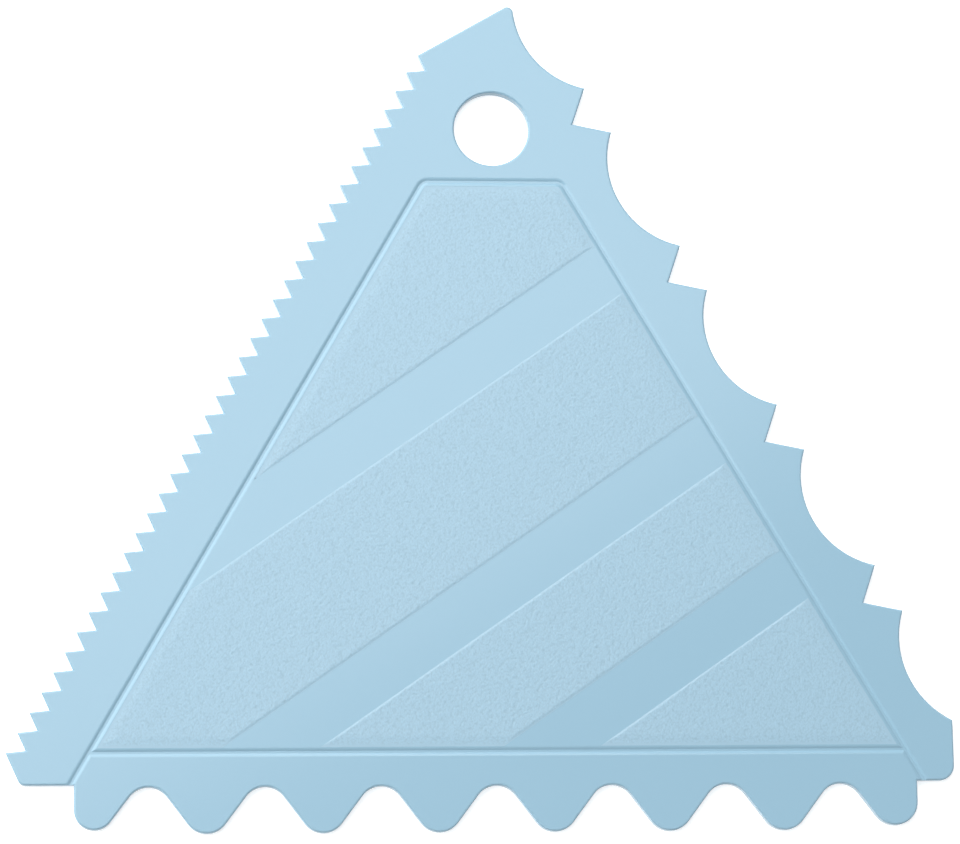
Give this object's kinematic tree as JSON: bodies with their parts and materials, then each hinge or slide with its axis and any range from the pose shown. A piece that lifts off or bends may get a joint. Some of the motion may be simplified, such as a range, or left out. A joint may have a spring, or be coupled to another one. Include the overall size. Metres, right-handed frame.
{
  "type": "icing smoother",
  "caption": "Flat triangular icing comb with saw-tooth, scalloped and wavy edges, a grooved grip panel with grained bands, and a hanging hole in its head.",
  "frame": {"origin": "middle of the comb's bounding box in X and Y, on its flat back face", "axes": "+Z out of the grooved face, +Y from the wavy edge towards the hanging hole, +X along the wavy edge towards the scalloped side"},
  "size_m": [0.1234, 0.1106, 0.0017],
  "materials": {
    "smooth_plastic": "smooth semi-gloss pale-blue moulding",
    "grained_plastic": "fine spark-eroded grain in the same pale-blue moulding"
  },
  "bodies": {
    "root": {"saw_tooth_strip": "smooth_plastic", "scallop_strip": "smooth_plastic", "wave_strip": "smooth_plastic", "hanging_head": "smooth_plastic", "grip_panel": "smooth_plastic", "grain_band_top": "grained_plastic", "grain_band_wide": "grained_plastic", "grain_band_middle": "grained_plastic", "grain_band_corner": "grained_plastic"}
  },
  "joints": []
}
